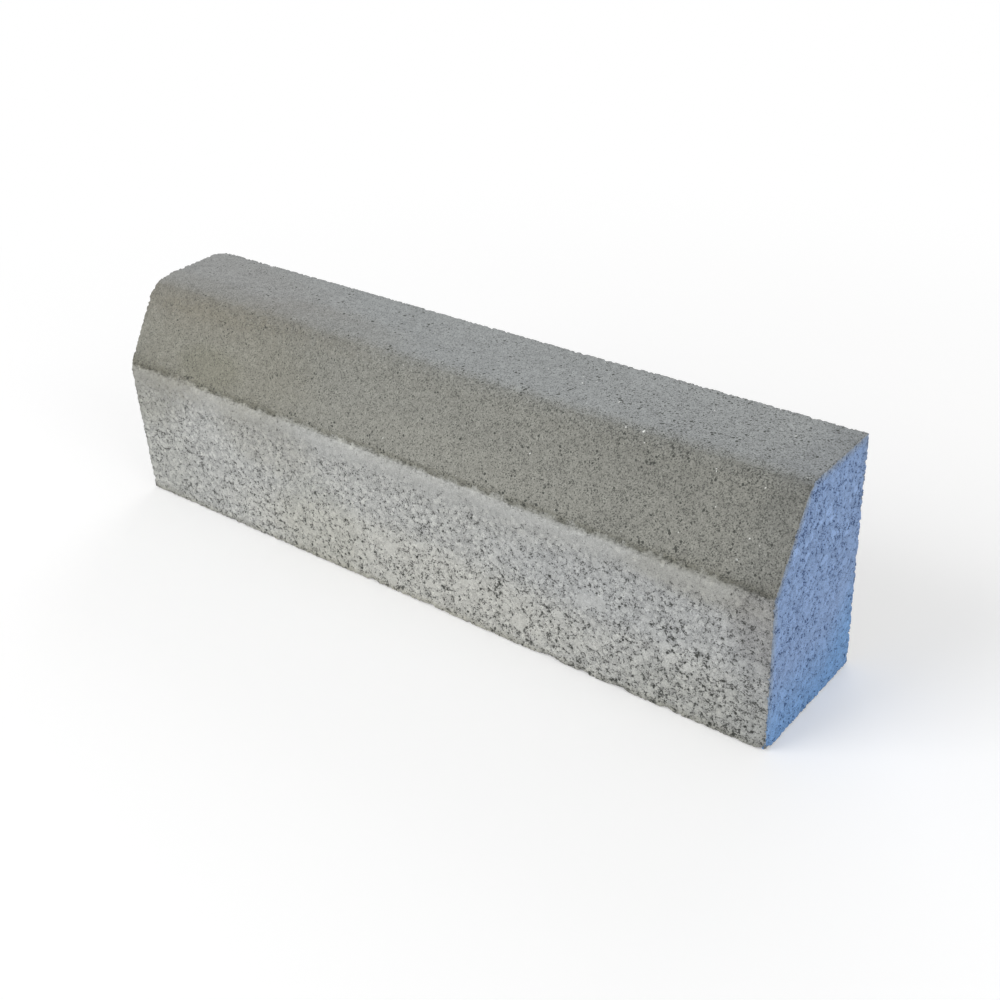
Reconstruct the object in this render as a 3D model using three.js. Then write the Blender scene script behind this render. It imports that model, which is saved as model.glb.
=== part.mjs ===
// A cast concrete kerb stone: one solid bar with a battered front.
//
// The bar lies along X and stands on its bed at z = 0, with its origin at the middle of the bed.
// The road side faces -Y: a plumb lower face, then a sloped face that leans back to a rounded nose,
// then the level top. The back (+Y) is plumb, so that the stone can be backed with concrete or soil.
// All sizes are in millimetres.

import * as THREE from "three";

// Overall size
const LENGTH = 500; // end to end
const WIDTH = 95; // front face to back
const HEIGHT = 150; // bed to top

// Sloped face, measured to the sharp corners that it would have without its roundings
const SLOPE_RUN = 33; // how far the slope leans back from the front face
const SLOPE_DROP = 52; // how far its foot lies below the top

// Roundings
const NOSE_RADIUS = 15; // between the slope and the top
const FOOT_RADIUS = 4; // between the front face and the slope
const BACK_ARRIS_RADIUS = 2; // along the top of the back
const BED_ARRIS_RADIUS = 1.5; // along both sides of the bed
const END_ARRIS_RADIUS = 1.2; // round the two end faces

// How finely the roundings are cut
const ARC_STEP_DEGREES = 6; // on the section's arcs
const END_ARRIS_STEPS = 3; // round the end faces

const CONCRETE_COLOUR = 0xa8a8a4;

// The section's corners, in order round the stone from the front of its bed, each with its rounding.
// A section point is (y, z).
function sectionCorners() {
  const front = -WIDTH / 2;
  const back = WIDTH / 2;
  return [
    { at: new THREE.Vector2(front, 0), radius: BED_ARRIS_RADIUS },
    { at: new THREE.Vector2(back, 0), radius: BED_ARRIS_RADIUS },
    { at: new THREE.Vector2(back, HEIGHT), radius: BACK_ARRIS_RADIUS },
    { at: new THREE.Vector2(front + SLOPE_RUN, HEIGHT), radius: NOSE_RADIUS },
    { at: new THREE.Vector2(front, HEIGHT - SLOPE_DROP), radius: FOOT_RADIUS },
  ];
}

// The points of the arc that rounds one corner. It touches both of the corner's edges, and the
// section turns left at every corner, so the centre lies to the left of both.
function roundedCorner(before, corner, after) {
  const arriving = corner.at.clone().sub(before.at).normalize();
  const leaving = after.at.clone().sub(corner.at).normalize();
  const turn = Math.acos(arriving.dot(leaving));
  const tangentLength = corner.radius * Math.tan(turn / 2);
  const start = corner.at.clone().addScaledVector(arriving, -tangentLength);
  const centre = start.clone().add(new THREE.Vector2(-arriving.y, arriving.x).multiplyScalar(corner.radius));

  const startAngle = Math.atan2(start.y - centre.y, start.x - centre.x);
  const steps = Math.ceil(turn / THREE.MathUtils.degToRad(ARC_STEP_DEGREES));
  const arc = new THREE.EllipseCurve(
    centre.x, centre.y, corner.radius, corner.radius, startAngle, startAngle + turn,
  );
  return arc.getPoints(steps);
}

function kerbSection() {
  const corners = sectionCorners();
  const outline = corners.flatMap((corner, i) => {
    const before = corners[(i + corners.length - 1) % corners.length];
    const after = corners[(i + 1) % corners.length];
    return roundedCorner(before, corner, after);
  });
  return new THREE.Shape(outline);
}

// The section is drawn in X and Y and extruded along Z. Turning the axes round puts its first
// direction on Y, its second on Z and its length on X.
function kerbStoneGeometry() {
  const geometry = new THREE.ExtrudeGeometry(kerbSection(), {
    depth: LENGTH - 2 * END_ARRIS_RADIUS,
    bevelEnabled: true,
    bevelThickness: END_ARRIS_RADIUS,
    bevelSize: END_ARRIS_RADIUS,
    bevelOffset: -END_ARRIS_RADIUS,
    bevelSegments: END_ARRIS_STEPS,
    steps: 1,
  });
  geometry.translate(0, 0, END_ARRIS_RADIUS - LENGTH / 2);
  geometry.applyMatrix4(new THREE.Matrix4().makeBasis(
    new THREE.Vector3(0, 1, 0),
    new THREE.Vector3(0, 0, 1),
    new THREE.Vector3(1, 0, 0),
  ));
  return geometry;
}

// Vibrated concrete, left as it came out of the mould: pale grey, dull and matt.
const castConcrete = new THREE.MeshStandardMaterial({
  color: CONCRETE_COLOUR,
  roughness: 0.92,
  metalness: 0,
});

const kerbStone = new THREE.Mesh(kerbStoneGeometry(), castConcrete);
kerbStone.name = "kerb_stone";

const kerb = new THREE.Group();
kerb.name = "concrete_kerb";
kerb.add(kerbStone);

export default kerb;
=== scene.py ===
"""A cast concrete kerb stone, dressed for the render: its worn and pitted body, and the stage.

The CAD frame gives the stone's place and overall size. Its smooth solid is replaced by one closed
body of the same section, with the open texture, worn arrises and small knocks of real concrete.
"""

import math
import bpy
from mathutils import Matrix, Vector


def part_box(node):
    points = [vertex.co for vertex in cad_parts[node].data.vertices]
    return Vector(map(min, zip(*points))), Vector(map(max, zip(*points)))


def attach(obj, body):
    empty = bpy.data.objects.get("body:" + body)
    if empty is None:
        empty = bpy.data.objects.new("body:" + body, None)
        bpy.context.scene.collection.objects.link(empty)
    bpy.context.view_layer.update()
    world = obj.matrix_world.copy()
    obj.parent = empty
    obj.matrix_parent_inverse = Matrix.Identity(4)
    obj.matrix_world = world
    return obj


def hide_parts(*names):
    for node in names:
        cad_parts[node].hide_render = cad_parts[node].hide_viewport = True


bl_info = {
    "name": "Concrete Kerb Stone",
    "version": (1, 0, 0),
    "blender": (4, 5, 0),
    "location": "3D View > Sidebar > Kerb",
    "description": "Casts a concrete kerb stone and sets a plain stage for it",
    "category": "Add Mesh",
}

import bmesh
import bpy
import numpy as np
from bpy.props import FloatProperty, FloatVectorProperty, IntProperty, PointerProperty
from mathutils import Quaternion, Vector

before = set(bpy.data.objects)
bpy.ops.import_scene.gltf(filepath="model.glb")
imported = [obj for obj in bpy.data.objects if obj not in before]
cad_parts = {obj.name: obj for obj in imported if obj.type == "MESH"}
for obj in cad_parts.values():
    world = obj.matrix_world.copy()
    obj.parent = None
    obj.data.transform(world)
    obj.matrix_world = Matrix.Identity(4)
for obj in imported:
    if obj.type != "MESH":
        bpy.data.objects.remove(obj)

NODE = "kerb_stone"
MM = 0.001

BOX_LOW, BOX_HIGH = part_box(NODE)
BOX_SIZE = BOX_HIGH - BOX_LOW

# Names of the values that the body's mesh carries to its material.
CAST_PLACE = "cast_place"  # where on the mould's wall a point was cast, in millimetres
CAST_FACING = "cast_facing"  # which way the mould's wall faced there
ARRIS_REACH = "arris_reach"  # how far the nearest arris is, in millimetres


def linear_colour(srgb_hex):
    """An sRGB hex colour, such as 0xB0B1AF, as linear RGB."""
    channels = [(srgb_hex >> shift & 255) / 255 for shift in (16, 8, 0)]
    return [c / 12.92 if c <= 0.04045 else ((c + 0.055) / 1.055) ** 2.4 for c in channels]


def colour_property(name, description, srgb_hex):
    """A colour that can be changed, with its default as an sRGB hex value."""
    return FloatVectorProperty(
        name=name,
        description=description,
        subtype="COLOR",
        size=3,
        min=0,
        max=1,
        default=linear_colour(srgb_hex),
    )


def length_property(name, description, millimetres):
    """A length that can be changed, with its default in millimetres."""
    return FloatProperty(
        name=name, description=description, default=millimetres * MM, min=0, unit="LENGTH", precision=4
    )


class KerbSizes(bpy.types.PropertyGroup):
    """Sizes of the stone's section and of its surface."""

    slope_run: length_property("Slope run", "How far the sloped face leans back from the front face", 33)
    slope_drop: length_property("Slope drop", "How far the slope's foot lies below the top", 52)
    nose_radius: length_property("Nose radius", "Rounding between the slope and the top", 15)
    foot_radius: length_property("Foot radius", "Rounding between the front face and the slope", 4)
    arris: length_property("Arris", "Rounding that the mould gives every other edge", 0.5)
    knocked_corner: length_property("Knocked corner", "How much of the far top corner is knocked off", 4.5)
    skin_step: length_property("Skin step", "Spacing of the mesh that takes the relief", 0.75)
    triangles: IntProperty(
        name="Triangles", description="Most triangles that the finished body has", default=198000, min=1000
    )


class ConcreteColours(bpy.types.PropertyGroup):
    """Colours of the concrete and of what has got onto it, with painted shade, highlights and sky tint in
    some of them.
    """

    paste: colour_property("Paste", "Cement paste round the grains of the plumb faces", 0xB0B1AF)
    grain: colour_property("Grain", "Pale grains that show through the paste", 0xCACBC7)
    sand: colour_property("Sand", "Sandy, finer surface of the slope", 0x91918A)
    # The tread colour is lighter than the sand; its cooler tint is painted sky light.
    tread: colour_property("Tread", "The same sandy surface where it is level, and cleaner", 0x9FA2A2)
    # The pit colour is painted shade in the pits, with some dust.
    pit_shade: colour_property("Pit", "Bottom of an open pit", 0x41433F)
    lime: colour_property("Lime", "Pale lime that has come out of the front face", 0xE4E0D0)
    # The glint colour is a painted highlight on pale quartz grains.
    quartz_highlight: colour_property("Glint", "Bare quartz grains in the sandy surface", 0xEEEFEC)
    # The blue of the right end, of no known cause: bluer low down, and greyer by the front and top arrises.
    end_blue: colour_property("End wash", "Blue marking wash on one end", 0x859DC4)
    low_end_blue: colour_property("Low end wash", "The same wash where it is thick, low down", 0x769CCA)
    greyer_end_blue: colour_property("Thin end wash", "The same wash where it is thin", 0x8C95A0)
    # The pit colour of the blue end: painted shade, tinted blue.
    blue_pit_shade: colour_property("Washed pit", "Bottom of a pit that the wash has run into", 0x203C54)
    end_blue_strength: FloatProperty(
        name="End wash strength", description="0 leaves that end plain concrete", default=1, min=0, max=1
    )


class StageSettings(bpy.types.PropertyGroup):
    """The floor and the lamps."""

    floor: colour_property("Floor", "Pale studio floor", 0xF2F2F2)
    sky: FloatProperty(name="Sky", description="Strength of the even light all round", default=0.5, min=0)
    key: FloatProperty(name="Key lamp", description="Power of the key lamp", default=22, min=0, unit="POWER")
    fill: FloatProperty(name="Fill lamps", description="Power of each lamp", default=9, min=0, unit="POWER")


def add(tree, kind, inputs=None, **settings):
    """Adds a node, sets its options, and gives each named or numbered input a value or a link.

    A node given as an input links through its first output in use.
    """
    node = tree.nodes.new(kind)
    for name, value in settings.items():
        setattr(node, name, value)
    for name, value in (inputs or {}).items():
        socket = next(s for i, s in enumerate(node.inputs) if s.enabled and name in (i, s.name))
        if isinstance(value, bpy.types.Node):
            value = next(s for s in value.outputs if s.enabled)
        if isinstance(value, bpy.types.NodeSocket):
            tree.links.new(value, socket)
        else:
            socket.default_value = value
    return node


# ---------------------------------------------------------------------------------------------
# The stone's zones and its open texture. These build the same nodes in the tree that sinks the mesh and
# in the tree that colours it, so a pit's painted shade lies where the pit is deep. Places are in
# millimetres from the middle of the bed.

SANDY_Z = 99.6  # above this the stone is sandy; the paste laps a little way up the slope
NOSE_Y = -14.5  # where the slope meets the top
SKIN_Z = 90.0  # above this the front face kept its smooth skin of paste
SKIN_END_X = 218.0  # and to the left of this
RAGGED_MM = 10.0  # how widely the ragged edge of a zone wanders
CRUMBLE_MM = 2.0  # how near an arris the stone is broken most
# Sizes or spacings, in millimetres.
GRAIN_MM = 3.1  # grains that the pits of the plumb faces lie between
SAND_MM = 0.75  # sand grains, and the fine pits between them
WIDE_PIT_MM = 2.1
NARROW_PIT_MM = 0.85
SPARSE_PIT_MM = 1.7  # the wider pits of the sandy faces
# Pale quartz grains, painted with a highlight, lie this far apart.
QUARTZ_HIGHLIGHT_MM = 4.0  # bare quartz grains
SMALL_ISLAND_MM = 7.0  # small islands of smooth paste
BITE_MM = 9.0  # bites out of the arrises
# How deep the relief goes, in millimetres.
PIT_DEPTH = 0.85
FINE_PIT_DEPTH = 0.22
HOLLOW_DEPTH = 0.3
CRUMBLE_DEPTH = 2.4
BITE_DEPTH = 1.3
# The largest islands of smooth paste on the front: x, z and radius.
ISLANDS = (
    (134, 52, 6), (143, 54, 6), (85, 17, 6), (-43, 49, 4), (-15, 33, 5), (-17, 9, 5.5), (201, 35, 3.5),
    (100, 14, 3.5), (45, 30, 3.5), (187, 18, 3),
)
# Stains, and painted shade: what each multiplies the colour by, its middle and its reach.
STAINS_AND_SHADE = (
    (0xEDECE8, (-262, -48, 84), (75, 30, 32)),  # grime at the left of the front
    (0xF8F8F6, (-252, -48, 30), (60, 30, 60)),  # and below it
    (0xF4F3F0, (-120, -48, 78), (50, 30, 26)),  # to the right of it
    (0xF7F7F4, (-78, -48, 25), (45, 30, 45)),  # further along and low down
    (0xF5F5F3, (218, -48, 8), (80, 30, 28)),  # and low on the right
    (0xFCFAF5, (-170, -35, 122), (100, 30, 45)),  # a yellowish film on the left of the slope
    (0xF8F8F3, (-175, -40, 112), (34, 30, 14)),  # thicker near the slope's foot
    (0xF7F6F3, (-225, -14, 149), (120, 24, 16)),  # grime on the left of the nose
    (0xEEEFF1, (262, 0, 75), (42, 200, 200)),  # painted shade towards the right end, a little cool
    (0xFBF8F6, (-245, 8, 150), (165, 50, 40)),  # soil on the left of the top
    (0xF6F4F1, (-95, -4, 150), (75, 24, 20)),  # and along its near side
    (0xF6F6F6, (195, -20, 142), (85, 24, 24)),  # damp on the right of the nose
    (0xF6F7FA, (165, -48, 64), (110, 30, 24)),  # a cooler film on the right of the front
    (0xF6F6F6, (0, -48, 82), (330, 30, 10)),  # grime below the smooth skin
    (0xEFEEEB, (205, -48, 92), (48, 30, 13)),  # and at both ends of the skin
    (0xF3F2F0, (-225, -48, 94), (50, 30, 11)),
    (0xE9E9E6, (0, -46, 100), (330, 8, 2.2)),  # painted shade along the rounding of the slope's foot
    (0xEDEDEB, (190, -46, 98.2), (140, 8, 2.2)),  # and more of it on the right
    (0xEFEDEC, (246, -48, 80), (26, 20, 30)),  # dust by the right end
)
DIRT_AND_SHADE = 0xE6E4DC  # what the dirt along the nose, the olive dirt and painted shade along the slope's foot, and the darkening low on the front multiply it by
# Pale blooms: the share of lime that shows, its middle and its reach.
BLOOMS = (
    (0.18, (-10, -48, 20), (160, 30, 32)),  # low on the front
    (0.04, (0, -40, 106), (140, 30, 18)),  # along the slope's foot
)
# Places that are worn or bitten: the middle, the reach and how deep, in millimetres.
WEAR = (
    ((-252, -13, 150), (13, 12, 12), 1.1),  # the nose at its left end
    ((30, 48, 150), (95, 9, 9), 0.35),  # the far edge of the top
    ((250, -47.5, 0), (7, 7, 7), 1.3),  # the near corner of the bed
    ((-34, -47.5, 0), (4, 5, 5), 1.0),  # and small bites along the bed's near edge
    ((14, -47.5, 0), (4, 5, 5), 0.8),
    ((106, -47.5, 0), (8, 5, 5), 1.0),
    ((131, -47.5, 0), (4, 5, 5), 0.9),
    ((156, -47.5, 0), (6, 5, 5), 1.1),
    ((188, -47.5, 0), (4, 5, 5), 0.8),
)


def wandering(tree, place, step_mm, reach_mm):
    """The place, shifted a little this way and that, so that what is laid out by it looks broken."""
    wander = add(tree, "ShaderNodeTexNoise", {"Vector": place, "Scale": 1 / step_mm, "Detail": 2})
    return add(
        tree, "ShaderNodeVectorMath", {0: wander.outputs["Color"], 1: (reach_mm,) * 3, 2: place},
        operation="MULTIPLY_ADD",
    )


def scattered_spots(tree, place, spacing_mm, share, spread=2.0, edge=0.3):
    """Spots of 1 on a ground of 0, a spacing apart, where only a share of the places has one.

    The larger the share is, the wider the spots are too, by the spread. They rise from 0 to 1 over
    the edge. Both are parts of the spacing.
    """
    moved = wandering(tree, place, 0.8 * spacing_mm, 0.7 * spacing_mm)
    cells = add(tree, "ShaderNodeTexVoronoi", {"Vector": moved, "Scale": 1 / spacing_mm})
    luck = add(tree, "ShaderNodeSeparateXYZ", {0: cells.outputs["Color"]}).outputs[0]
    width = add(tree, "ShaderNodeMath", {0: luck, 1: share}, operation="ADD")
    width = add(tree, "ShaderNodeMath", {0: width, 1: spread, 2: -spread}, operation="MULTIPLY_ADD")
    inside = add(tree, "ShaderNodeMath", {0: width, 1: cells.outputs["Distance"]}, operation="SUBTRACT")
    return add(tree, "ShaderNodeMapRange", {0: inside, 1: 0.0, 2: edge})


class Zones:
    """Shares, from 0 to 1, that say what kind of surface a point of the stone has."""

    def __init__(self, tree, place, facing):
        at = add(tree, "ShaderNodeSeparateXYZ", {0: place})
        facing = add(tree, "ShaderNodeSeparateXYZ", {0: facing})
        self.place, self.x, self.y, self.z = place, *at.outputs
        # The finer textures run askew to the faces, so that none of them shows its rows.
        self.askew = add(
            tree, "ShaderNodeVectorRotate", {0: place, "Axis": (0.5, 0.7, 0.4), "Angle": 0.9}
        ).outputs[0]
        ragged = add(
            tree, "ShaderNodeTexNoise", {"Vector": self.askew, "Scale": 1 / 5, "Detail": 5, "Roughness": 0.85}
        )
        self.ragged = add(
            tree, "ShaderNodeMath", {0: ragged, 1: RAGGED_MM, 2: -RAGGED_MM / 2}, operation="MULTIPLY_ADD"
        )
        self.up = add(tree, "ShaderNodeMath", {0: self.z, 1: self.ragged}, operation="ADD")
        across = add(tree, "ShaderNodeMath", {0: self.y, 1: self.ragged}, operation="ADD")
        # The tread is the level top, behind the nose.
        self.tread = add(
            tree, "ShaderNodeMapRange", {0: across, 1: NOSE_Y - 7, 2: NOSE_Y + 11},
            interpolation_type="SMOOTHSTEP",
        )
        self.nose = self.nose_share(tree, across)
        # The sandy surface starts at a wavy line along the slope's foot.
        wavy = add(tree, "ShaderNodeTexNoise", {"Vector": self.askew, "Scale": 1 / 12, "Detail": 2})
        wavy = add(tree, "ShaderNodeMath", {0: wavy, 1: 7.0, 2: -3.5}, operation="MULTIPLY_ADD")
        wavy = add(tree, "ShaderNodeMath", {0: wavy, 1: self.up}, operation="ADD")
        self.foot = self.foot_share(tree, wavy)
        self.sandy = self.sandy_share(tree, wavy, facing)
        self.front = add(tree, "ShaderNodeMapRange", {0: facing.outputs[1], 1: -0.8, 2: -0.95})
        self.tinted_blue = add(tree, "ShaderNodeMapRange", {0: facing.outputs[0], 1: 0.6, 2: 0.95})
        self.margin = self.margin_share(tree)
        self.islands = self.island_share(tree)
        self.skin = self.skin_share(tree)
        self.open = self.open_share(tree)

    def patch(self, tree, middle, reach):
        """Full inside an ellipsoid round the middle, and gone at its ragged edge."""
        offset = add(tree, "ShaderNodeVectorMath", {0: self.place, 1: middle}, operation="SUBTRACT")
        offset = add(tree, "ShaderNodeVectorMath", {0: offset, 1: reach}, operation="DIVIDE")
        away = add(tree, "ShaderNodeVectorMath", {0: offset}, operation="LENGTH").outputs["Value"]
        away = add(tree, "ShaderNodeMath", {0: self.ragged, 1: 0.06, 2: away}, operation="MULTIPLY_ADD")
        return add(tree, "ShaderNodeMapRange", {0: away, 1: 1.15, 2: 0.55}, interpolation_type="SMOOTHSTEP")

    def nose_share(self, tree, across):
        """The rounded nose, which is dirty and open, most of all towards the right."""
        off_nose = add(tree, "ShaderNodeMath", {0: across, 1: NOSE_Y}, operation="SUBTRACT")
        off_nose = add(tree, "ShaderNodeMath", {0: off_nose}, operation="ABSOLUTE")
        nose = add(tree, "ShaderNodeMapRange", {0: off_nose, 1: 8, 2: 0})
        towards_right = add(tree, "ShaderNodeMapRange", {0: self.x, 1: -150, 2: 150, 3: 0.2, 4: 1})
        return add(tree, "ShaderNodeMath", {0: nose, 1: towards_right}, operation="MULTIPLY")

    def foot_share(self, tree, wavy):
        """The foot of the slope, which is open, and darker with olive dirt and painted shade, most of all
        towards the left.
        """
        foot = add(tree, "ShaderNodeMapRange", {0: wavy, 1: SANDY_Z + 5.5, 2: SANDY_Z + 0.5})
        towards_left = add(tree, "ShaderNodeMapRange", {0: self.x, 1: -80, 2: -170, 3: 0.55, 4: 1})
        return add(tree, "ShaderNodeMath", {0: foot, 1: towards_left}, operation="MULTIPLY")

    def sandy_share(self, tree, wavy, facing):
        """The slope and the top: all that lies above the slope's foot but the back and the ends."""
        above_foot = add(tree, "ShaderNodeMapRange", {0: wavy, 1: SANDY_Z - 0.9, 2: SANDY_Z + 0.9})
        not_back = add(tree, "ShaderNodeMapRange", {0: facing.outputs[1], 1: 0.7, 2: 0.4})
        sideways = add(tree, "ShaderNodeMath", {0: facing.outputs[0]}, operation="ABSOLUTE")
        not_end = add(tree, "ShaderNodeMapRange", {0: sideways, 1: 0.72, 2: 0.5})
        upper = add(tree, "ShaderNodeMath", {0: above_foot, 1: not_back}, operation="MULTIPLY")
        return add(tree, "ShaderNodeMath", {0: upper, 1: not_end}, operation="MULTIPLY")

    def margin_share(self, tree):
        """The strip of the front by the right end, where the pits are few and narrow."""
        margin = add(tree, "ShaderNodeMath", {0: self.x, 1: self.ragged}, operation="ADD")
        margin = add(tree, "ShaderNodeMapRange", {0: margin, 1: 239, 2: 246})
        return add(tree, "ShaderNodeMath", {0: margin, 1: self.front}, operation="MULTIPLY")

    def island_share(self, tree):
        """Islands of smooth paste: the largest on the front, and small ones on every plumb face."""
        large = 0.0
        for x, z, radius in ISLANDS:
            island = self.patch(tree, (x, BOX_LOW.y / MM, z), (radius,) * 3)
            large = add(tree, "ShaderNodeMath", {0: large, 1: island}, operation="MAXIMUM")
        large = add(tree, "ShaderNodeMapRange", {0: large, 1: 0.4, 2: 0.6})
        small = scattered_spots(tree, self.askew, SMALL_ISLAND_MM, 0.52, 1.0, 0.08)
        return add(tree, "ShaderNodeMath", {0: large, 1: small}, operation="MAXIMUM")

    def skin_share(self, tree):
        """Where smooth paste closes the texture: under the slope, and on the islands."""
        in_skin = add(tree, "ShaderNodeMapRange", {0: self.up, 1: SKIN_Z - 8, 2: SKIN_Z + 2})
        before_end = add(tree, "ShaderNodeMapRange", {0: self.x, 1: SKIN_END_X + 18, 2: SKIN_END_X})
        in_skin = add(tree, "ShaderNodeMath", {0: in_skin, 1: before_end}, operation="MULTIPLY")
        skin = add(tree, "ShaderNodeMath", {0: in_skin, 1: self.front}, operation="MULTIPLY")
        return add(tree, "ShaderNodeMath", {0: skin, 1: self.islands}, operation="MAXIMUM")

    def open_share(self, tree):
        """How openly the plumb faces are pitted: not at all where smooth paste closes them."""
        drift = add(
            tree, "ShaderNodeTexNoise", {"Vector": self.askew, "Scale": 1 / 13, "Detail": 2, "Roughness": 0.5}
        )
        share = add(tree, "ShaderNodeMapRange", {0: drift, 1: 0.3, 2: 0.7, 3: 0.15, 4: 0.4}).outputs[0]
        # More open towards the right and low on the front, and less on the margin and the blue end.
        along = add(tree, "ShaderNodeMapRange", {0: self.x, 1: -250, 2: 250, 3: -0.06, 4: 0.04})
        share = add(tree, "ShaderNodeMath", {0: share, 1: along}, operation="ADD")
        down = add(tree, "ShaderNodeMapRange", {0: self.z, 1: 85, 2: 10, 3: -0.02, 4: 0.145})
        share = add(tree, "ShaderNodeMath", {0: down, 1: self.front, 2: share}, operation="MULTIPLY_ADD")
        share = add(tree, "ShaderNodeMath", {0: self.margin, 1: -0.06, 2: share}, operation="MULTIPLY_ADD")
        closer = add(tree, "ShaderNodeMapRange", {0: self.z, 1: 110, 2: 30, 3: -0.02, 4: -0.08})
        share = add(tree, "ShaderNodeMath", {0: self.tinted_blue, 1: closer, 2: share}, operation="MULTIPLY_ADD")
        bare = add(tree, "ShaderNodeMath", {0: 1.0, 1: self.skin}, operation="SUBTRACT")
        return add(tree, "ShaderNodeMath", {0: share, 1: bare}, operation="MULTIPLY")


def plumb_grains(tree, zones, plumb):
    """The grains of the plumb faces, and how open the gaps between them are."""
    moved = wandering(tree, zones.askew, 2.0, 3.0)
    grains = add(tree, "ShaderNodeTexVoronoi", {"Vector": moved, "Scale": 1 / GRAIN_MM}).outputs
    luck = add(tree, "ShaderNodeSeparateXYZ", {0: grains["Color"]}).outputs[0]
    within = add(tree, "ShaderNodeMapRange", {0: grains["Distance"], 1: 0.62, 2: 0.42})
    within = add(tree, "ShaderNodeMath", {0: within, 1: plumb}, operation="MULTIPLY")
    shown = add(tree, "ShaderNodeMath", {0: within, 1: luck}, operation="MULTIPLY")
    gap = add(tree, "ShaderNodeMapRange", {0: grains["Distance"], 1: 0.4, 2: 0.7, 3: -0.17, 4: 0.2})
    return shown, gap


def plumb_pits(tree, zones, plumb, gap):
    """The pits of the plumb faces, wide and narrow, in the gaps between the grains."""
    share = add(tree, "ShaderNodeMath", {0: zones.open, 1: gap}, operation="ADD")
    # The wide ones are more common low on the front, and rare on its margin.
    low = add(tree, "ShaderNodeMapRange", {0: zones.z, 1: 75, 2: 15, 3: 0.0, 4: 0.08})
    low = add(tree, "ShaderNodeMath", {0: low, 1: zones.front, 2: share}, operation="MULTIPLY_ADD")
    low = add(tree, "ShaderNodeMath", {0: zones.margin, 1: -0.18, 2: low}, operation="MULTIPLY_ADD")
    wide = scattered_spots(tree, zones.askew, WIDE_PIT_MM, low, 1.1, 0.2)
    share = add(tree, "ShaderNodeMath", {0: share, 1: 0.2}, operation="ADD")
    share = add(tree, "ShaderNodeMath", {0: zones.tinted_blue, 1: 0.08, 2: share}, operation="MULTIPLY_ADD")
    narrow = scattered_spots(tree, zones.askew, NARROW_PIT_MM, share, 1.4, 0.2)
    pits = add(tree, "ShaderNodeMath", {0: narrow, 1: 0.85}, operation="MULTIPLY")
    pits = add(tree, "ShaderNodeMath", {0: pits, 1: wide}, operation="MAXIMUM")
    return add(tree, "ShaderNodeMath", {0: pits, 1: plumb}, operation="MULTIPLY")


def sand_spots(tree, zones):
    """The sand that shades every face, in spots of all sizes down to single grains."""
    spots = add(
        tree, "ShaderNodeTexNoise", {"Vector": zones.askew, "Scale": 1 / 4.5, "Detail": 2, "Roughness": 0.8}
    )
    specks = add(tree, "ShaderNodeTexNoise", {"Vector": zones.askew, "Scale": 1 / SAND_MM, "Detail": 1})
    return add(
        tree, "ShaderNodeMix", {"Factor": 0.64, "A": spots.outputs[0], "B": specks.outputs[0]}
    ).outputs[0]


def sandy_pits(tree, zones):
    """The pits of the sandy faces: fine ones all over, and wider ones in clusters.

    Both are more common by the nose and the slope's foot, and towards the right.
    """
    share = add(tree, "ShaderNodeMath", {0: zones.nose, 1: zones.foot}, operation="MAXIMUM")
    share = add(tree, "ShaderNodeMapRange", {0: share, 1: 0, 2: 1, 3: 0.54, 4: 0.67})
    share = add(tree, "ShaderNodeMath", {0: zones.tread, 1: -0.08, 2: share}, operation="MULTIPLY_ADD")
    along = add(tree, "ShaderNodeMapRange", {0: zones.x, 1: -200, 2: 200, 3: -0.08, 4: 0.04})
    share = add(tree, "ShaderNodeMath", {0: share, 1: along}, operation="ADD")
    fine = scattered_spots(tree, zones.askew, SAND_MM, share, 1.8)
    clusters = add(tree, "ShaderNodeTexNoise", {"Vector": zones.askew, "Scale": 1 / 9, "Detail": 2})
    clusters = add(tree, "ShaderNodeMapRange", {0: clusters, 1: 0.3, 2: 0.7, 3: 0.1, 4: 0.52})
    share = add(tree, "ShaderNodeMath", {0: zones.tread, 1: 0.05, 2: clusters}, operation="MULTIPLY_ADD")
    share = add(tree, "ShaderNodeMath", {0: along, 1: share}, operation="ADD")
    share = add(tree, "ShaderNodeMath", {0: zones.foot, 1: 0.22, 2: share}, operation="MULTIPLY_ADD")
    sparse = scattered_spots(tree, zones.askew, SPARSE_PIT_MM, share, 1.3, 0.12)
    fine = add(tree, "ShaderNodeMath", {0: fine, 1: 0.75}, operation="MULTIPLY")
    fine = add(tree, "ShaderNodeMath", {0: fine, 1: sparse}, operation="MAXIMUM")
    return add(tree, "ShaderNodeMath", {0: fine, 1: zones.sandy}, operation="MULTIPLY")


def quartz_highlighted(tree, zones):
    """The few bare, pale quartz grains in the sandy faces, more of them towards the right, painted as bright
    as a highlight.
    """
    share = add(tree, "ShaderNodeMapRange", {0: zones.x, 1: -150, 2: 150, 3: 0.12, 4: 0.22})
    quartz_highlights = scattered_spots(tree, zones.askew, QUARTZ_HIGHLIGHT_MM, share, 0.8, 0.06)
    return add(tree, "ShaderNodeMath", {0: quartz_highlights, 1: zones.sandy}, operation="MULTIPLY")


class OpenTexture:
    """The grains and pits of the plumb faces, and the finer ones of the sandy faces."""

    def __init__(self, tree, zones):
        plumb = add(tree, "ShaderNodeMath", {0: 1.0, 1: zones.sandy}, operation="SUBTRACT")
        self.grains, gap = plumb_grains(tree, zones, plumb)
        self.pits = plumb_pits(tree, zones, plumb, gap)
        self.sand = sand_spots(tree, zones)
        self.fine_pits = sandy_pits(tree, zones)
        self.quartz_highlights = quartz_highlighted(tree, zones)


# ---------------------------------------------------------------------------------------------
# The body


def section_corners(sizes):
    """The section's sharp corners as (y, z), in metres, from the front of the bed round the back."""
    front, back, bed, top = BOX_LOW.y, BOX_HIGH.y, BOX_LOW.z, BOX_HIGH.z
    return [
        (front, bed),
        (back, bed),
        (back, top),
        (front + sizes.slope_run, top),
        (front, top - sizes.slope_drop),
    ]


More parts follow.
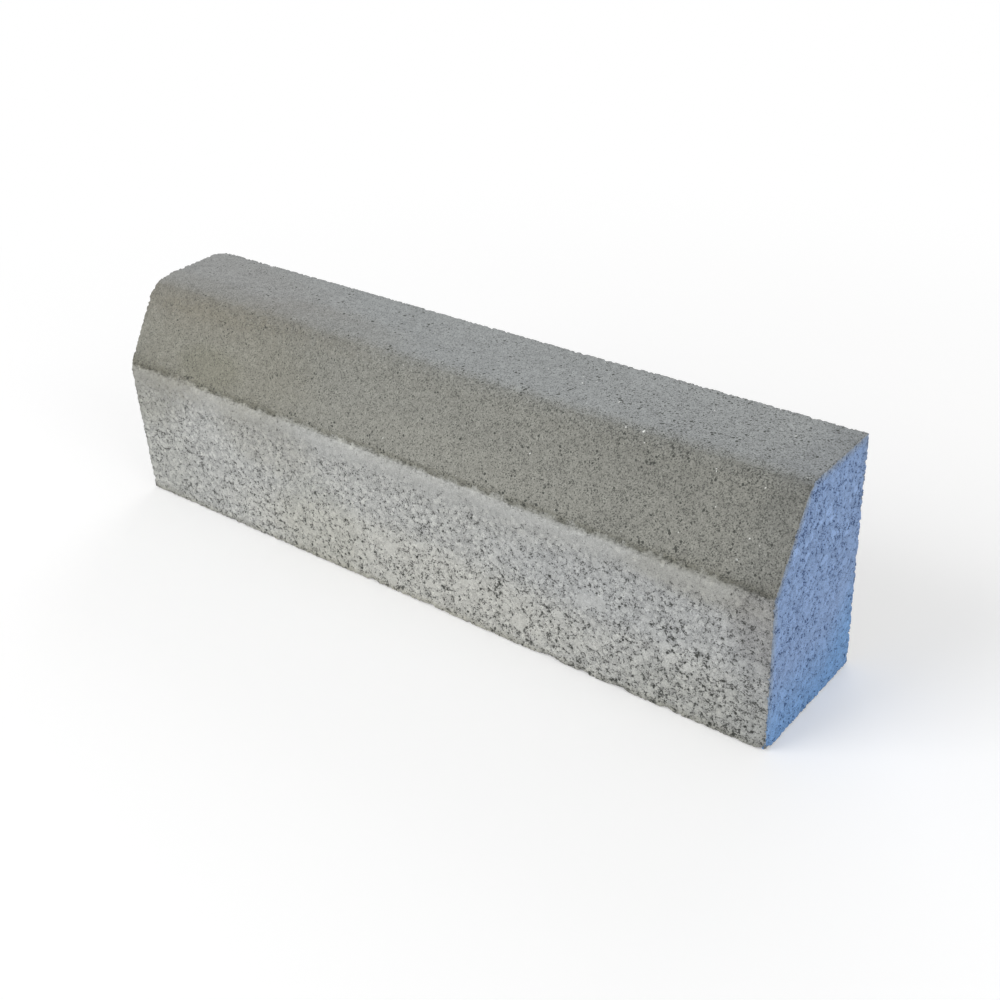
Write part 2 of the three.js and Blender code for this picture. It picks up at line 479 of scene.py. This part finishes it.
def long_edge_at(bm, corner):
    """The edge that runs the stone's whole length through one corner of its section."""
    y, z = corner
    return next(e for e in bm.edges if all(math.dist(v.co.yz, (y, z)) < 1e-6 for v in e.verts))


def moulded_bar(sizes):
    """The smooth bar: the section drawn along X, rounded, with eased arrises and its knocked corner."""
    bm = bmesh.new()
    corners = section_corners(sizes)
    section = bm.faces.new([bm.verts.new((BOX_LOW.x, y, z)) for y, z in corners])
    drawn = bmesh.ops.extrude_face_region(bm, geom=[section])["geom"]
    bmesh.ops.translate(
        bm, verts=[v for v in drawn if isinstance(v, bmesh.types.BMVert)], vec=(BOX_SIZE.x, 0, 0)
    )
    bmesh.ops.recalc_face_normals(bm, faces=bm.faces)

    slope_angle = math.atan2(sizes.slope_drop, sizes.slope_run)
    for corner, radius, turn in (
        (corners[3], sizes.nose_radius, slope_angle),
        (corners[4], sizes.foot_radius, math.pi / 2 - slope_angle),
    ):
        bmesh.ops.bevel(
            bm, geom=[long_edge_at(bm, corner)], affect="EDGES", offset_type="OFFSET",
            offset=radius * math.tan(turn / 2), segments=8, profile=0.5, material=-1,
        )
    arrises = [e for e in bm.edges if e.calc_face_angle() > math.radians(30)]
    bmesh.ops.bevel(
        bm, geom=arrises, affect="EDGES", offset_type="OFFSET",
        offset=sizes.arris, segments=2, profile=0.5, material=-1,
    )
    knock_off_corner(bm, Vector((BOX_LOW.x, BOX_HIGH.y, BOX_HIGH.z)), sizes.knocked_corner)
    return in_fixed_order(bm)


def knock_off_corner(bm, corner, amount):
    """Breaks one corner of the bar off along a plane, and closes the break."""
    outwards = corner - (BOX_LOW + BOX_HIGH) / 2
    outwards = Vector(math.copysign(1, part) for part in outwards).normalized()
    cut = bmesh.ops.bisect_plane(
        bm, geom=[*bm.verts, *bm.edges, *bm.faces], plane_co=corner - outwards * amount,
        plane_no=outwards, clear_outer=True,
    )["geom_cut"]
    bmesh.ops.contextual_create(bm, geom=[e for e in cut if isinstance(e, bmesh.types.BMEdge)])


def in_fixed_order(bm):
    """The same bar, with its points and faces in the order of their places.

    The bevels leave them in another order each time the script runs, and the last digits of the
    body's relief would change with it.
    """

    def place(point):
        return tuple(round(value, 6) for value in point.co)

    bar = bmesh.new()
    places = sorted(place(point) for point in bm.verts)
    points = [bar.verts.new(at) for at in places]
    rings = []
    for face in bm.faces:
        ring = [places.index(place(point)) for point in face.verts]
        start = ring.index(min(ring))
        rings.append(ring[start:] + ring[:start])
    for ring in sorted(rings):
        bar.faces.new([points[index] for index in ring])
    bm.free()
    return bar


def apply_modifier(piece, kind, **settings):
    """Adds a modifier with these settings and applies it to the mesh."""
    modifier = piece.modifiers.new(kind.title(), kind)
    for name, value in settings.items():
        setattr(modifier, name, value)
    with bpy.context.temp_override(object=piece, active_object=piece, selected_objects=[piece]):
        bpy.ops.object.modifier_apply(modifier=modifier.name)


def vertex_values(mesh, items, name, width=3):
    """One value of every vertex, as an array with a row for each."""
    values = np.empty(len(mesh.vertices) * width, np.float32)
    getattr(mesh, items).foreach_get(name, values)
    return values.reshape(-1, width)


def mould_walls(sizes):
    """The flat faces of the mould as outward normals and how far out each lies, top and slope last."""
    slope = Vector((0, -sizes.slope_drop, sizes.slope_run)).normalized()
    slope_foot = Vector((0, BOX_LOW.y, BOX_HIGH.z - sizes.slope_drop))
    walls = [
        ((-1, 0, 0), -BOX_LOW.x),
        ((1, 0, 0), BOX_HIGH.x),
        ((0, -1, 0), -BOX_LOW.y),
        ((0, 1, 0), BOX_HIGH.y),
        ((0, 0, -1), -BOX_LOW.z),
        ((0, 0, 1), BOX_HIGH.z),
        (slope, slope.dot(slope_foot)),
    ]
    return np.array([normal for normal, _ in walls]), np.array([offset for _, offset in walls])


def store_values(mesh, name, kind, values):
    """Stores a value of every vertex on the mesh, under this name."""
    attribute = mesh.attributes.new(name, kind, "POINT")
    attribute.data.foreach_set("vector" if kind == "FLOAT_VECTOR" else "value", values.ravel())


def keep_smooth_values(mesh, sizes):
    """Stores on the smooth mesh where the mould faced at each point and how near an arris it is."""
    facings = vertex_values(mesh, "vertex_normals", "vector")
    normals, offsets = mould_walls(sizes)
    depths = offsets - vertex_values(mesh, "vertices", "co") @ normals.T
    # The nose between the top and the slope is no arris, so these two count as one wall.
    depths = np.column_stack([depths[:, :5], depths[:, 5:].min(axis=1)])
    # A point lies on one wall, and its depth behind the next nearest is its way to an arris.
    reach = np.sort(depths, axis=1)[:, 1]
    store_values(mesh, CAST_FACING, "FLOAT_VECTOR", facings)
    store_values(mesh, ARRIS_REACH, "FLOAT", (reach / MM).astype(np.float32))


def keep_cast_places(mesh, sizes):
    """Stores on the finished mesh the place on the mould's wall that each point was cast against."""
    facings = np.empty(len(mesh.vertices) * 3, np.float32)
    mesh.attributes[CAST_FACING].data.foreach_get("vector", facings)
    normals, offsets = mould_walls(sizes)
    nearest = (facings.reshape(-1, 3) @ normals.T).argmax(axis=1)
    places = vertex_values(mesh, "vertices", "co")
    wall = normals[nearest]
    depth = offsets[nearest] - (places * wall).sum(axis=1)
    places = places + wall * depth[:, None]
    store_values(mesh, CAST_PLACE, "FLOAT_VECTOR", (places / MM).astype(np.float32))


def points_off_arrises(mesh):
    """The vertices that may be spared. Those of the crumbled arrises are all kept."""
    reach = np.empty(len(mesh.vertices), np.float32)
    mesh.attributes[ARRIS_REACH].data.foreach_get("value", reach)
    return np.flatnonzero(reach > CRUMBLE_MM).tolist()


def sunken_faces(tree, zones, texture):
    """How deep the faces are sunk, in millimetres: by hollows, wear, lumps and pits."""
    hollows = add(tree, "ShaderNodeTexNoise", {"Vector": zones.place, "Scale": 1 / 90, "Detail": 1})
    depth = add(
        tree, "ShaderNodeMapRange", {0: hollows, 1: 0.3, 2: 0.7, 3: 0.0, 4: HOLLOW_DEPTH}
    ).outputs[0]
    for middle, reach, worn in WEAR:
        patch = zones.patch(tree, middle, reach)
        depth = add(tree, "ShaderNodeMath", {0: patch, 1: worn, 2: depth}, operation="MULTIPLY_ADD")
    # The lumps are a grain or two wide.
    lumps = add(
        tree, "ShaderNodeTexNoise", {"Vector": zones.askew, "Scale": 1 / 4, "Detail": 3, "Roughness": 0.7}
    )
    lumps = add(tree, "ShaderNodeMapRange", {0: lumps, 1: 0.45, 2: 0.75})
    lumpy = add(tree, "ShaderNodeMapRange", {0: zones.sandy, 1: 0, 2: 1, 3: 0.6, 4: 0.45})
    depth = add(tree, "ShaderNodeMath", {0: lumps, 1: lumpy, 2: depth}, operation="MULTIPLY_ADD")
    depth = add(tree, "ShaderNodeMath", {0: texture.pits, 1: PIT_DEPTH, 2: depth}, operation="MULTIPLY_ADD")
    return add(
        tree, "ShaderNodeMath", {0: texture.fine_pits, 1: FINE_PIT_DEPTH, 2: depth}, operation="MULTIPLY_ADD"
    )


def crumbled_arrises(tree, zones, reach, depth):
    """The depth, with the arrises crumbled: a little all along, and more here and there."""
    crumbling = add(
        tree, "ShaderNodeTexNoise", {"Vector": zones.askew, "Scale": 1 / 2.6, "Detail": 2, "Roughness": 0.7}
    )
    crumbling = add(
        tree, "ShaderNodeMapRange", {0: crumbling, 1: 0.48, 2: 0.72, 3: 0.0, 4: CRUMBLE_DEPTH}
    )
    bites = scattered_spots(tree, zones.askew, BITE_MM, 0.22)
    crumbling = add(
        tree, "ShaderNodeMath", {0: bites, 1: BITE_DEPTH, 2: crumbling}, operation="MULTIPLY_ADD"
    )
    near_arris = add(
        tree, "ShaderNodeMapRange", {0: reach, 1: 1.5 * CRUMBLE_MM, 2: 0.0}, interpolation_type="SMOOTHSTEP"
    )
    return add(tree, "ShaderNodeMath", {0: near_arris, 1: crumbling, 2: depth}, operation="MULTIPLY_ADD")


def relief_nodes():
    """The nodes that sink the smooth mesh by the concrete's relief."""
    tree = bpy.data.node_groups.new("concrete_relief", "GeometryNodeTree")
    tree.interface.new_socket("Geometry", in_out="INPUT", socket_type="NodeSocketGeometry")
    tree.interface.new_socket("Geometry", in_out="OUTPUT", socket_type="NodeSocketGeometry")
    source = add(tree, "NodeGroupInput")
    place = add(tree, "GeometryNodeInputPosition")
    place = add(tree, "ShaderNodeVectorMath", {0: place, "Scale": 1 / MM}, operation="SCALE").outputs[0]
    facing = add(tree, "GeometryNodeInputNamedAttribute", {"Name": CAST_FACING}, data_type="FLOAT_VECTOR")
    reach = add(tree, "GeometryNodeInputNamedAttribute", {"Name": ARRIS_REACH}, data_type="FLOAT")
    facing, reach = (node.outputs["Attribute"] for node in (facing, reach))
    zones = Zones(tree, place, facing)
    depth = sunken_faces(tree, zones, OpenTexture(tree, zones))
    depth = crumbled_arrises(tree, zones, reach, depth)
    inwards = add(tree, "ShaderNodeMath", {0: depth, 1: -MM}, operation="MULTIPLY")
    move = add(tree, "ShaderNodeVectorMath", {0: facing, "Scale": inwards}, operation="SCALE")
    moved = add(tree, "GeometryNodeSetPosition", {"Geometry": source.outputs[0], "Offset": move})
    add(tree, "NodeGroupOutput", {0: moved})
    return tree


def keep_in_box(mesh):
    """Holds every point inside the CAD model's box."""
    places = vertex_values(mesh, "vertices", "co")
    mesh.vertices.foreach_set("co", places.clip(BOX_LOW, BOX_HIGH).astype(np.float32).ravel())
    mesh.update()


class KERB_OT_cast_stone(bpy.types.Operator):
    """Casts the kerb stone's body, with its relief and its concrete"""

    bl_idname = "kerb.cast_stone"
    bl_label = "Cast Kerb Stone"

    def execute(self, context):
        sizes = context.scene.kerb_sizes
        mesh = bpy.data.meshes.new("cast_kerb")
        bar = moulded_bar(sizes)
        bar.to_mesh(mesh)
        bar.free()
        piece = bpy.data.objects.new("cast_kerb", mesh)
        context.scene.collection.objects.link(piece)

        apply_modifier(piece, "REMESH", mode="VOXEL", voxel_size=sizes.skin_step, adaptivity=0)
        keep_smooth_values(piece.data, sizes)
        apply_modifier(piece, "NODES", node_group=relief_nodes())
        full = sum(len(p.vertices) - 2 for p in piece.data.polygons)
        broad = piece.vertex_groups.new(name="broad_faces")
        broad.add(points_off_arrises(piece.data), 1.0, "REPLACE")
        apply_modifier(piece, "DECIMATE", ratio=min(1, sizes.triangles / full), vertex_group=broad.name)
        keep_in_box(piece.data)
        keep_cast_places(piece.data, sizes)
        piece.data.shade_smooth()
        piece.data.set_sharp_from_angle(angle=math.radians(55))
        piece.data.materials.append(cast_concrete(context.scene.concrete_colours))

        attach(piece, "root")
        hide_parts(NODE)
        return {"FINISHED"}


# ---------------------------------------------------------------------------------------------
# The concrete


def clean_concrete(tree, zones, texture, colours):
    """The colour of the dry, clean concrete: paste and grains on the plumb faces, sand elsewhere."""
    # Paste lies over pale grains, which show through where they stand up.
    # They show least in the smooth skin and towards the right end.
    covered = add(tree, "ShaderNodeMapRange", {0: zones.x, 1: 205, 2: 240, 3: 0, 4: 0.5})
    covered = add(tree, "ShaderNodeMath", {0: zones.skin, 1: covered}, operation="MAXIMUM")
    most = add(tree, "ShaderNodeMapRange", {0: covered, 1: 0, 2: 1, 3: 1, 4: 0.2})
    grainy = add(tree, "ShaderNodeMath", {0: texture.grains, 1: most}, operation="MULTIPLY")
    # The islands are as pale as half-covered grains, and so is the skin under the slope, from lime.
    grainy = add(tree, "ShaderNodeMath", {0: zones.islands, 1: 0.55, 2: grainy}, operation="MULTIPLY_ADD")
    limy = add(tree, "ShaderNodeMapRange", {0: zones.up, 1: 91, 2: 98, 3: 0, 4: 0.35})
    grainy = add(tree, "ShaderNodeMath", {0: limy, 1: zones.skin, 2: grainy}, operation="MULTIPLY_ADD")
    plumb = add(
        tree, "ShaderNodeMix", {"Factor": grainy, "A": (*colours.paste, 1), "B": (*colours.grain, 1)},
        data_type="RGBA",
    )
    # The level top's colour is cooler than the slope's: that tint is painted sky light.
    sandy = add(
        tree, "ShaderNodeMix", {"Factor": zones.tread, "A": (*colours.sand, 1), "B": (*colours.tread, 1)},
        data_type="RGBA",
    )
    colour = add(
        tree, "ShaderNodeMix", {"Factor": zones.sandy, "A": plumb, "B": sandy}, data_type="RGBA"
    )
    # Every face is a little mottled, in patches and sand grain by sand grain. The top was trowelled,
    # so it is more even, and the blue end is more even too.
    patches = add(tree, "ShaderNodeTexNoise", {"Vector": zones.place, "Scale": 1 / 35, "Detail": 3})
    patches = add(tree, "ShaderNodeMapRange", {0: patches, 1: 0.3, 2: 0.7, 3: 0.97, 4: 1.03})
    even = add(tree, "ShaderNodeMapRange", {0: zones.tread, 1: 0, 2: 1, 3: 0.25, 4: 0.5})
    even = add(tree, "ShaderNodeMath", {0: even, 1: zones.sandy}, operation="MULTIPLY")
    even = add(tree, "ShaderNodeMath", {0: even, 1: zones.tinted_blue}, operation="MAXIMUM")
    contrast = add(tree, "ShaderNodeMapRange", {0: even, 1: 0, 2: 1, 3: 2.3, 4: 1.6})
    plain_grain = add(tree, "ShaderNodeMapRange", {0: texture.grains, 1: 0, 2: 1, 3: 1.0, 4: 0.6})
    contrast = add(tree, "ShaderNodeMath", {0: contrast, 1: plain_grain}, operation="MULTIPLY")
    smoother = add(tree, "ShaderNodeMapRange", {0: zones.skin, 1: 0, 2: 1, 3: 1.0, 4: 0.65})
    contrast = add(tree, "ShaderNodeMath", {0: contrast, 1: smoother}, operation="MULTIPLY")
    sand = add(tree, "ShaderNodeMath", {0: texture.sand, 1: 0.5}, operation="SUBTRACT")
    shade = add(tree, "ShaderNodeMath", {0: sand, 1: contrast, 2: patches}, operation="MULTIPLY_ADD")
    return add(tree, "ShaderNodeVectorMath", {0: colour, "Scale": shade}, operation="SCALE")


def soiled_and_shaded(tree, zones, colour, colours):
    """The colour with the stains, lime and dirt that have got onto it, and with painted shade by the right
    end and along the slope's foot.
    """
    plain = add(tree, "ShaderNodeMath", {0: 1.0, 1: zones.tinted_blue}, operation="SUBTRACT")
    for tint, middle, reach in STAINS_AND_SHADE:
        tinted = add(
            tree, "ShaderNodeMath", {0: zones.patch(tree, middle, reach), 1: plain}, operation="MULTIPLY"
        )
        colour = add(
            tree, "ShaderNodeMix",
            {"Factor": tinted, "A": colour, "B": (*linear_colour(tint), 1)},
            data_type="RGBA", blend_type="MULTIPLY",
        )
    for share, middle, reach in BLOOMS:
        lime = zones.patch(tree, middle, reach)
        lime = add(tree, "ShaderNodeMath", {0: lime, 1: share}, operation="MULTIPLY")
        colour = add(
            tree, "ShaderNodeMix", {"Factor": lime, "A": colour, "B": (*colours.lime, 1)}, data_type="RGBA"
        )
    # Dirt lies along the nose. Along the slope's foot are olive dirt and painted shade. The bottom of the
    # front is darker towards the bed.
    dirt_and_shade = add(tree, "ShaderNodeMath", {0: zones.nose, 1: zones.foot}, operation="MAXIMUM")
    dirt_and_shade = add(tree, "ShaderNodeMath", {0: dirt_and_shade, 1: zones.sandy}, operation="MULTIPLY")
    dirt_and_shade = add(tree, "ShaderNodeMath", {0: dirt_and_shade, 1: 0.25}, operation="MULTIPLY")
    near_bed = add(tree, "ShaderNodeMapRange", {0: zones.up, 1: 7, 2: 0})
    dirt_and_shade = add(tree, "ShaderNodeMath", {0: near_bed, 1: zones.front, 2: dirt_and_shade}, operation="MULTIPLY_ADD")
    return add(
        tree, "ShaderNodeMix", {"Factor": dirt_and_shade, "A": colour, "B": (*linear_colour(DIRT_AND_SHADE), 1)},
        data_type="RGBA", blend_type="MULTIPLY",
    )


def with_highlights_and_shaded_pits(tree, zones, texture, colour, blue_share, colours):
    """The colour with pale quartz grains painted as highlights, and with open pits and their painted shade.
    """
    colour = add(
        tree, "ShaderNodeMix", {"Factor": texture.quartz_highlights, "A": colour, "B": (*colours.quartz_highlight, 1)},
        data_type="RGBA",
    )
    # The pits' dark colour is painted shade with dust in it, and on the blue end it is dark blue.
    pit_shade = add(
        tree, "ShaderNodeMix", {"Factor": blue_share, "A": (*colours.pit_shade, 1), "B": (*colours.blue_pit_shade, 1)},
        data_type="RGBA",
    )
    pit_darkness = add(tree, "ShaderNodeMapRange", {0: zones.tinted_blue, 1: 0, 2: 1, 3: 0.93, 4: 0.85})
    depth = add(tree, "ShaderNodeMath", {0: texture.pits, 1: pit_darkness}, operation="MULTIPLY")
    fine_depth = add(tree, "ShaderNodeMath", {0: texture.fine_pits, 1: 0.88}, operation="MULTIPLY")
    depth = add(tree, "ShaderNodeMath", {0: depth, 1: fine_depth}, operation="MAXIMUM")
    return add(tree, "ShaderNodeMix", {"Factor": depth, "A": colour, "B": pit_shade}, data_type="RGBA")


def blue_tint(colours, end_blue):
    """What one of the end's blues multiplies the paste by to give that blue."""
    return [w / p for w, p in zip(end_blue, colours.paste)]


def tinted_blue(tree, zones, colour, blue_share, colours):
    """The colour with the blue tint on one end.

    The tint multiplies the concrete's colour and leaves its texture. It is greyer by the front and top
    arrises, and bluer low down, up to a greater height towards the back.
    """
    reach = add(tree, "ShaderNodeAttribute", attribute_name=ARRIS_REACH).outputs["Fac"]
    greyer = add(tree, "ShaderNodeMapRange", {0: reach, 1: 5.5, 2: 0})
    slant = add(tree, "ShaderNodeMath", {0: zones.y, 1: -1.6, 2: zones.z}, operation="MULTIPLY_ADD")
    slant = add(tree, "ShaderNodeMapRange", {0: slant, 1: 50, 2: 85})
    greyer = add(tree, "ShaderNodeMath", {0: greyer, 1: slant}, operation="MULTIPLY")
    behind = add(tree, "ShaderNodeMapRange", {0: zones.y, 1: 15, 2: 45, 3: 0, 4: 25})
    low_and_back = add(tree, "ShaderNodeMath", {0: zones.up, 1: behind}, operation="SUBTRACT")
    low_and_back = add(tree, "ShaderNodeMapRange", {0: low_and_back, 1: 45, 2: 5})
    end_blue, low_end_blue, greyer_end_blue = (
        (*blue_tint(colours, end_blue), 1) for end_blue in (colours.end_blue, colours.low_end_blue, colours.greyer_end_blue)
    )
    end_blue = add(tree, "ShaderNodeMix", {"Factor": greyer, "A": end_blue, "B": greyer_end_blue}, data_type="RGBA")
    end_blue = add(tree, "ShaderNodeMix", {"Factor": low_and_back, "A": end_blue, "B": low_end_blue}, data_type="RGBA")
    return add(
        tree, "ShaderNodeMix", {"Factor": blue_share, "A": colour, "B": end_blue}, data_type="RGBA",
        blend_type="MULTIPLY",
    )


def cast_concrete(colours):
    """Vibrated concrete, struck from its mould.

    That gives dull, pale cement paste with open pits on the plumb faces, and a darker, sandy, close
    texture on the slope and the top.
    """
    material = bpy.data.materials.new("cast_concrete")
    material.use_nodes = True
    tree = material.node_tree
    tree.nodes.clear()
    place = add(tree, "ShaderNodeAttribute", attribute_name=CAST_PLACE).outputs["Vector"]
    facing = add(tree, "ShaderNodeAttribute", attribute_name=CAST_FACING).outputs["Vector"]
    zones = Zones(tree, place, facing)
    texture = OpenTexture(tree, zones)
    blue_share = add(tree, "ShaderNodeMath", {0: zones.tinted_blue, 1: colours.end_blue_strength}, operation="MULTIPLY")
    colour = clean_concrete(tree, zones, texture, colours)
    colour = soiled_and_shaded(tree, zones, colour, colours)
    colour = with_highlights_and_shaded_pits(tree, zones, texture, colour, blue_share, colours)
    colour = tinted_blue(tree, zones, colour, blue_share, colours)

    # Grit finer than the mesh can hold.
    bump = add(tree, "ShaderNodeBump", {"Height": texture.sand, "Strength": 0.4, "Distance": 0.2 * MM})
    finish = add(
        tree, "ShaderNodeBsdfPrincipled",
        {"Base Color": colour, "Roughness": 0.93, "Specular IOR Level": 0.3, "Normal": bump},
    )
    add(tree, "ShaderNodeOutputMaterial", {"Surface": finish})
    return material


# ---------------------------------------------------------------------------------------------
# The stage

CAMERA_PLACE = (0.5068, -0.5550, 0.5011)
CAMERA_AIM = (0.0369, 0.0, 0.0613)
CAMERA_ROLL = math.radians(-3.465)
CAMERA_LENS = 49.92  # millimetres, on a 36 mm wide sensor

FLOOR_REACH = 6.0  # metres from the middle to the floor's edge


def studio_floor(colours):
    """Matt white paint, which keeps the stone's shadow and fades to plain white away from it."""
    material = bpy.data.materials.new("matt_floor_paint")
    material.use_nodes = True
    tree = material.node_tree
    tree.nodes.clear()
    paint = add(tree, "ShaderNodeBsdfDiffuse", {"Color": (*colours.floor, 1)})
    white = add(tree, "ShaderNodeEmission", {"Color": (1, 1, 1, 1), "Strength": 1.0})
    glow = add(tree, "ShaderNodeEmission", {"Color": (1, 1, 1, 1), "Strength": 0.2})
    lifted = add(tree, "ShaderNodeAddShader", {0: paint, 1: glow})
    coords = add(tree, "ShaderNodeTexCoord").outputs["Object"]
    away = add(tree, "ShaderNodeVectorMath", {0: coords}, operation="LENGTH").outputs["Value"]
    far = add(tree, "ShaderNodeMapRange", {0: away, 1: 0.35, 2: 0.8}, interpolation_type="SMOOTHSTEP")
    path = add(tree, "ShaderNodeLightPath")
    seen = add(
        tree, "ShaderNodeMath",
        {0: path.outputs["Is Camera Ray"], 1: path.outputs["Is Glossy Ray"]}, operation="MAXIMUM",
    )
    seen = add(
        tree, "ShaderNodeMath", {0: seen, 1: path.outputs["Is Transmission Ray"]}, operation="MAXIMUM"
    )
    backdrop = add(tree, "ShaderNodeMixShader", {0: far, 1: lifted, 2: white})
    surface = add(tree, "ShaderNodeMixShader", {0: seen, 1: paint, 2: backdrop})
    add(tree, "ShaderNodeOutputMaterial", {"Surface": surface})
    return material


def area_lamp(name, place, size, power):
    """A soft square lamp that faces the stone."""
    data = bpy.data.lights.new(name, "AREA")
    data.size = size
    data.energy = power
    lamp = bpy.data.objects.new(name, data)
    lamp.location = place
    lamp.rotation_euler = (Vector((0, 0, 0.07)) - Vector(place)).to_track_quat("-Z", "Y").to_euler()
    bpy.context.scene.collection.objects.link(lamp)


class KERB_OT_set_stage(bpy.types.Operator):
    """Lays the floor, hangs the lamps and places the camera"""

    bl_idname = "kerb.set_stage"
    bl_label = "Set Stage"

    def execute(self, context):
        stage = context.scene.stage_settings
        self.lay_floor(context, stage)
        self.light_world(context, stage)
        area_lamp("key_lamp", (-0.9, -1.5, 1.5), 1.4, stage.key)
        area_lamp("right_fill", (1.8, -0.3, 0.9), 1.4, stage.fill)
        area_lamp("back_fill", (-0.6, 1.8, 0.9), 1.4, stage.fill)
        self.place_camera(context)
        context.scene.view_settings.view_transform = "Standard"
        return {"FINISHED"}

    def lay_floor(self, context, stage):
        bm = bmesh.new()
        bmesh.ops.create_grid(bm, x_segments=1, y_segments=1, size=FLOOR_REACH)
        mesh = bpy.data.meshes.new("studio_floor")
        bm.to_mesh(mesh)
        bm.free()
        mesh.materials.append(studio_floor(stage))
        floor = bpy.data.objects.new("studio_floor", mesh)
        context.scene.collection.objects.link(floor)

    def light_world(self, context, stage):
        world = bpy.data.worlds.new("studio_sky")
        context.scene.world = world
        world.use_nodes = True
        tree = world.node_tree
        tree.nodes.clear()
        path = add(tree, "ShaderNodeLightPath")
        strength = add(
            tree, "ShaderNodeMapRange", {0: path.outputs["Is Camera Ray"], 1: 0, 2: 1, 3: stage.sky, 4: 1.0}
        )
        sky = add(tree, "ShaderNodeBackground", {"Color": (1, 1, 1, 1), "Strength": strength})
        add(tree, "ShaderNodeOutputWorld", {"Surface": sky})

    def place_camera(self, context):
        data = bpy.data.cameras.new("studio_camera")
        data.lens = CAMERA_LENS
        camera = bpy.data.objects.new("studio_camera", data)
        camera.location = CAMERA_PLACE
        looking = (Vector(CAMERA_AIM) - Vector(CAMERA_PLACE)).to_track_quat("-Z", "Y")
        camera.rotation_euler = (looking @ Quaternion((0, 0, 1), CAMERA_ROLL)).to_euler()
        context.scene.collection.objects.link(camera)
        context.scene.camera = camera


class KERB_PT_panel(bpy.types.Panel):
    """Lists the stone's settings and the steps that make it"""

    bl_label = "Concrete Kerb Stone"
    bl_idname = "KERB_PT_panel"
    bl_space_type = "VIEW_3D"
    bl_region_type = "UI"
    bl_category = "Kerb"

    def draw(self, context):
        for label, group in (
            ("Sizes", context.scene.kerb_sizes),
            ("Concrete", context.scene.concrete_colours),
            ("Stage", context.scene.stage_settings),
        ):
            box = self.layout.box()
            box.label(text=label)
            for name in group.__annotations__:
                box.prop(group, name)
        self.layout.operator(KERB_OT_cast_stone.bl_idname)
        self.layout.operator(KERB_OT_set_stage.bl_idname)


CLASSES = (
    KerbSizes, ConcreteColours, StageSettings, KERB_OT_cast_stone, KERB_OT_set_stage, KERB_PT_panel,
)


def register():
    for cls in CLASSES:
        bpy.utils.register_class(cls)
    bpy.types.Scene.kerb_sizes = PointerProperty(type=KerbSizes)
    bpy.types.Scene.concrete_colours = PointerProperty(type=ConcreteColours)
    bpy.types.Scene.stage_settings = PointerProperty(type=StageSettings)


def unregister():
    del bpy.types.Scene.stage_settings
    del bpy.types.Scene.concrete_colours
    del bpy.types.Scene.kerb_sizes
    for cls in reversed(CLASSES):
        bpy.utils.unregister_class(cls)


def main():
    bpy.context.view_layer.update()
    register()
    bpy.ops.kerb.cast_stone()
    bpy.ops.kerb.set_stage()


if __name__ == "__main__":
    main()
